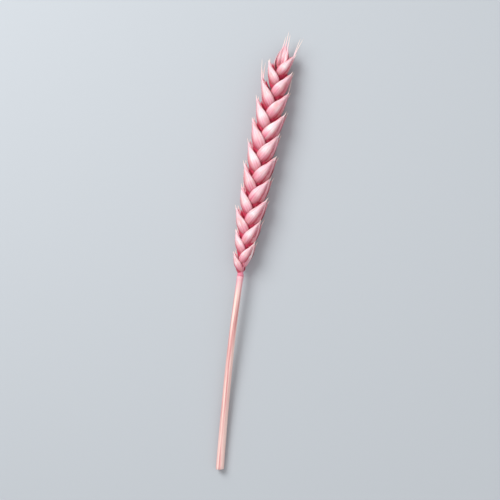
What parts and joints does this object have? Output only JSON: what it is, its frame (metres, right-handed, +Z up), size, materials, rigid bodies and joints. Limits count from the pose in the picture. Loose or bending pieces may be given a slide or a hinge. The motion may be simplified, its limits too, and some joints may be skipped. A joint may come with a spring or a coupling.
{
  "type": "wheat ear",
  "caption": "Dried, pink-dyed wheat ear on its cut straw, lying on a surface: two rows of plump, pointed spikelets with short thin awns at the tip.",
  "frame": {"origin": "on the surface the ear lies on, under the middle of its bounding box", "axes": "+Y runs from the straw's cut end to the ear's tip, +Z up from the surface"},
  "size_m": [0.0166, 0.1826, 0.0101],
  "materials": {
    "ear": "matte",
    "straw": "satin"
  },
  "bodies": {
    "root": {"ear": "ear", "straw": "straw"}
  },
  "joints": []
}
